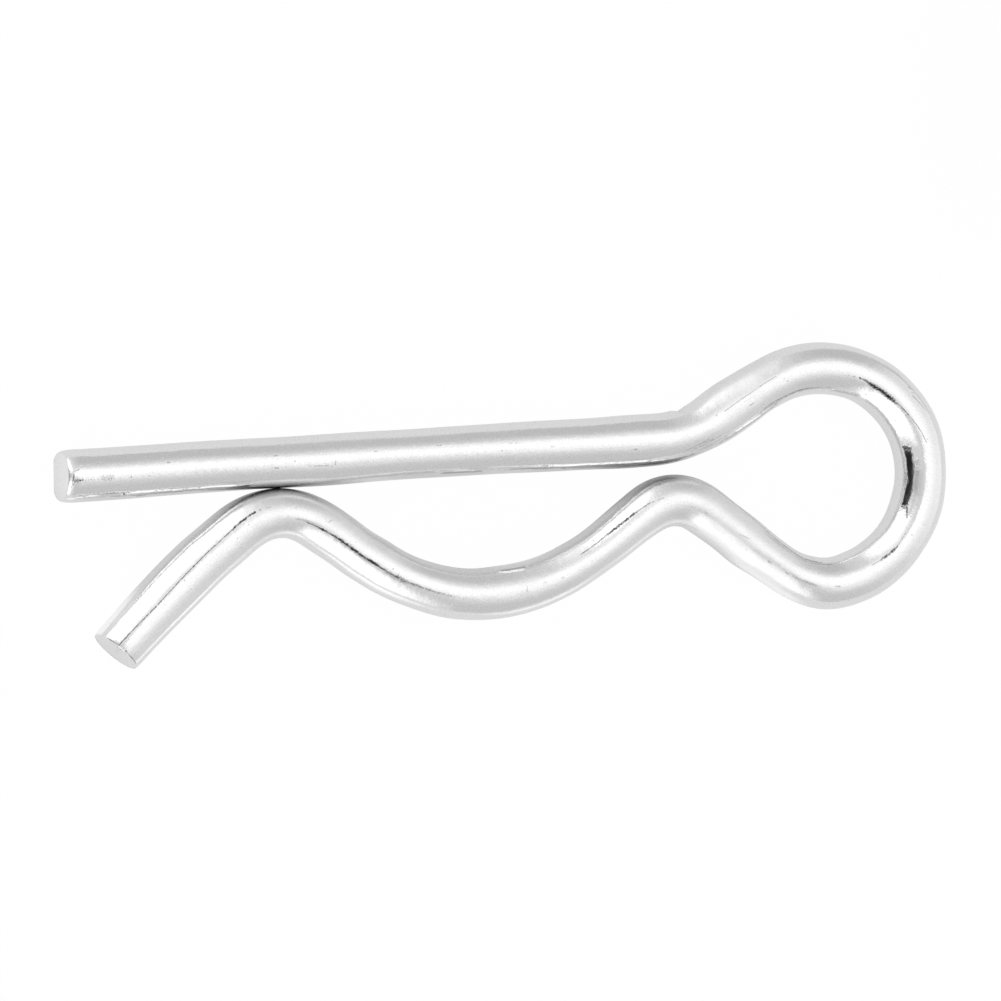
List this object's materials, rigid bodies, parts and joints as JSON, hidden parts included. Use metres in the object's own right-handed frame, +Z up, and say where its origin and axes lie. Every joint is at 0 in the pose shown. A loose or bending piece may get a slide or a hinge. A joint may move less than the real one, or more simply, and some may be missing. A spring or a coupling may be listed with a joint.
{
  "type": "hitch pin clip",
  "caption": "R-shaped spring wire clip: a straight leg goes through a cross hole in a shaft, and the humped leg springs round the shaft.",
  "frame": {"origin": "middle of the clip's outline in plan, on the surface it lies on", "axes": "+X along the straight leg from its free end towards the eye, +Y in the wire's plane from the humped leg towards the straight leg, +Z up, across the wire's plane"},
  "size_m": [0.068, 0.0204, 0.0038],
  "materials": {
    "zinc_plated_wire": "bright zinc plate over drawn spring steel wire"
  },
  "bodies": {
    "root": {"clip": "zinc_plated_wire"}
  },
  "joints": []
}
